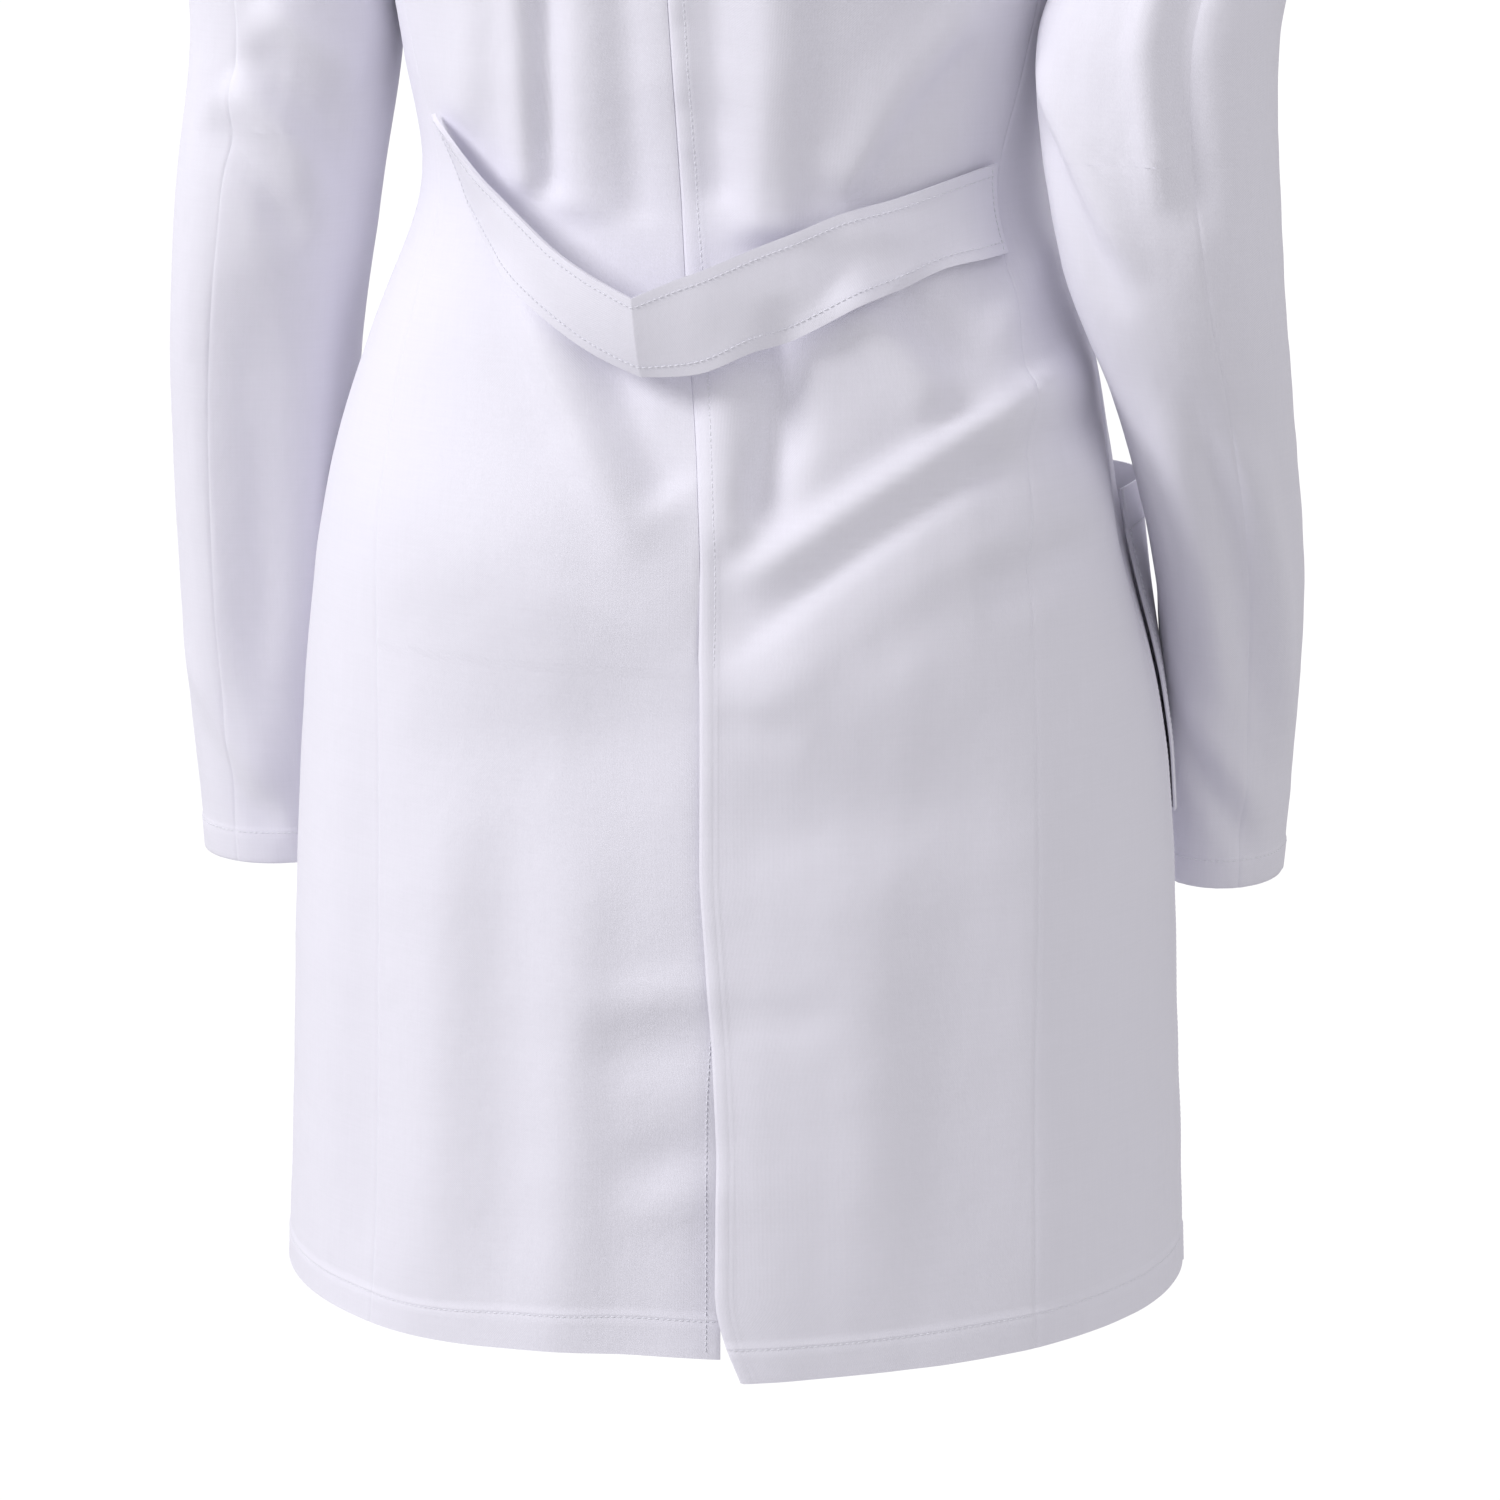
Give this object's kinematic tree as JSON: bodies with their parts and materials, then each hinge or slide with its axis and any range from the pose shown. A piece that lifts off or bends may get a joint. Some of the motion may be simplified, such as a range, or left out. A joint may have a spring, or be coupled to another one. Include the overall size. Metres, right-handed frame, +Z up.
{
  "type": "lab coat",
  "caption": "Knee-length white lab coat shaped as worn, with notched collar, buttoned front, patch pockets, hanging half belt and overlapped back vent.",
  "frame": {"origin": "nape: centre of the back neckline, where the collar and the shoulders hold the coat up", "axes": "+Z up, the front of the coat faces -Y, the wearer's left is +X"},
  "size_m": [0.5854, 0.3373, 1.0055],
  "materials": {
    "cloth": "matte",
    "inner_cloth": "matte",
    "button": "satin"
  },
  "bodies": {
    "root": {"center_back_left": "cloth", "center_back_right": "cloth", "side_back_left": "cloth", "side_back_right": "cloth", "side_front_left": "cloth", "side_front_right": "cloth", "front_panel_left": "cloth", "front_panel_right": "cloth", "lapel_left": "cloth", "lapel_right": "cloth", "back_neck_facing": "inner_cloth", "collar_stand": "inner_cloth", "collar_fall": "cloth", "pocket_left": "cloth", "pocket_right": "cloth", "chest_pocket": "cloth", "button_1": "button"},
    "right_front": {"front_flap_right": "cloth", "front_facing_right": "inner_cloth"},
    "left_front": {"front_flap_left": "cloth", "front_facing_left": "inner_cloth", "button_2": "button", "button_3": "button", "button_4": "button"},
    "right_vent": {"vent_flap_right": "cloth"},
    "left_vent": {"vent_flap_left": "cloth"},
    "left_upper_sleeve": {"top_sleeve_upper_left": "cloth", "under_sleeve_upper_left": "cloth"},
    "left_lower_sleeve": {"top_sleeve_lower_left": "cloth", "under_sleeve_lower_left": "cloth"},
    "right_upper_sleeve": {"top_sleeve_upper_right": "cloth", "under_sleeve_upper_right": "cloth"},
    "right_lower_sleeve": {"top_sleeve_lower_right": "cloth", "under_sleeve_lower_right": "cloth"},
    "half_belt": {"half_belt": "cloth"},
    "hanger_loop": {"hanger_loop": "inner_cloth"}
  },
  "joints": [
    {"name": "right_front_open", "type": "hinge", "parent": "root", "child": "right_front", "pos_m": [-0.06975, -0.14025, -0.634], "axis": [-0.2141, 0.0023, -0.9768], "range_deg": [0, 95]},
    {"name": "left_front_open", "type": "hinge", "parent": "root", "child": "left_front", "pos_m": [0.06975, -0.14025, -0.634], "axis": [-0.2141, -0.0023, 0.9768], "range_deg": [0, 19]},
    {"name": "right_vent_swing", "type": "hinge", "parent": "root", "child": "right_vent", "pos_m": [-0.0695, 0.1595, -0.7825], "axis": [0.3546, 0.046, 0.9339], "range_deg": [0, 60]},
    {"name": "left_vent_swing", "type": "hinge", "parent": "root", "child": "left_vent", "pos_m": [0.0695, 0.1595, -0.7825], "axis": [0.3546, -0.046, -0.9339], "range_deg": [0, 15]},
    {"name": "left_sleeve_raise", "type": "hinge", "parent": "root", "child": "left_upper_sleeve", "pos_m": [0.203, 0, -0.047], "axis": [-0.8192, -0.5736, 0], "range_deg": [0, 70]},
    {"name": "left_elbow_bend", "type": "hinge", "parent": "left_upper_sleeve", "child": "left_lower_sleeve", "pos_m": [0.25047, -0.07156, -0.415], "axis": [-0.9397, -0.342, 0], "range_deg": [0, 100]},
    {"name": "right_sleeve_raise", "type": "hinge", "parent": "root", "child": "right_upper_sleeve", "pos_m": [-0.203, 0, -0.047], "axis": [-0.8192, 0.5736, 0], "range_deg": [0, 70]},
    {"name": "right_elbow_bend", "type": "hinge", "parent": "right_upper_sleeve", "child": "right_lower_sleeve", "pos_m": [-0.239, 0.00856, -0.425], "axis": [-0.9397, 0.342, 0], "range_deg": [0, 100]},
    {"name": "half_belt_lift", "type": "hinge", "parent": "root", "child": "half_belt", "pos_m": [0, 0.063, -0.37], "axis": [1, 0, 0], "range_deg": [0, 55]},
    {"name": "hanger_loop_swing", "type": "hinge", "parent": "root", "child": "hanger_loop", "pos_m": [0, 0.0475, -0.004], "axis": [-1, 0, 0], "range_deg": [0, 150]}
  ],
  "couplings": [
    {"joint": "left_front_open", "follows": "right_front_open", "ratio": 0.2},
    {"joint": "left_vent_swing", "follows": "right_vent_swing", "ratio": 0.25}
  ]
}
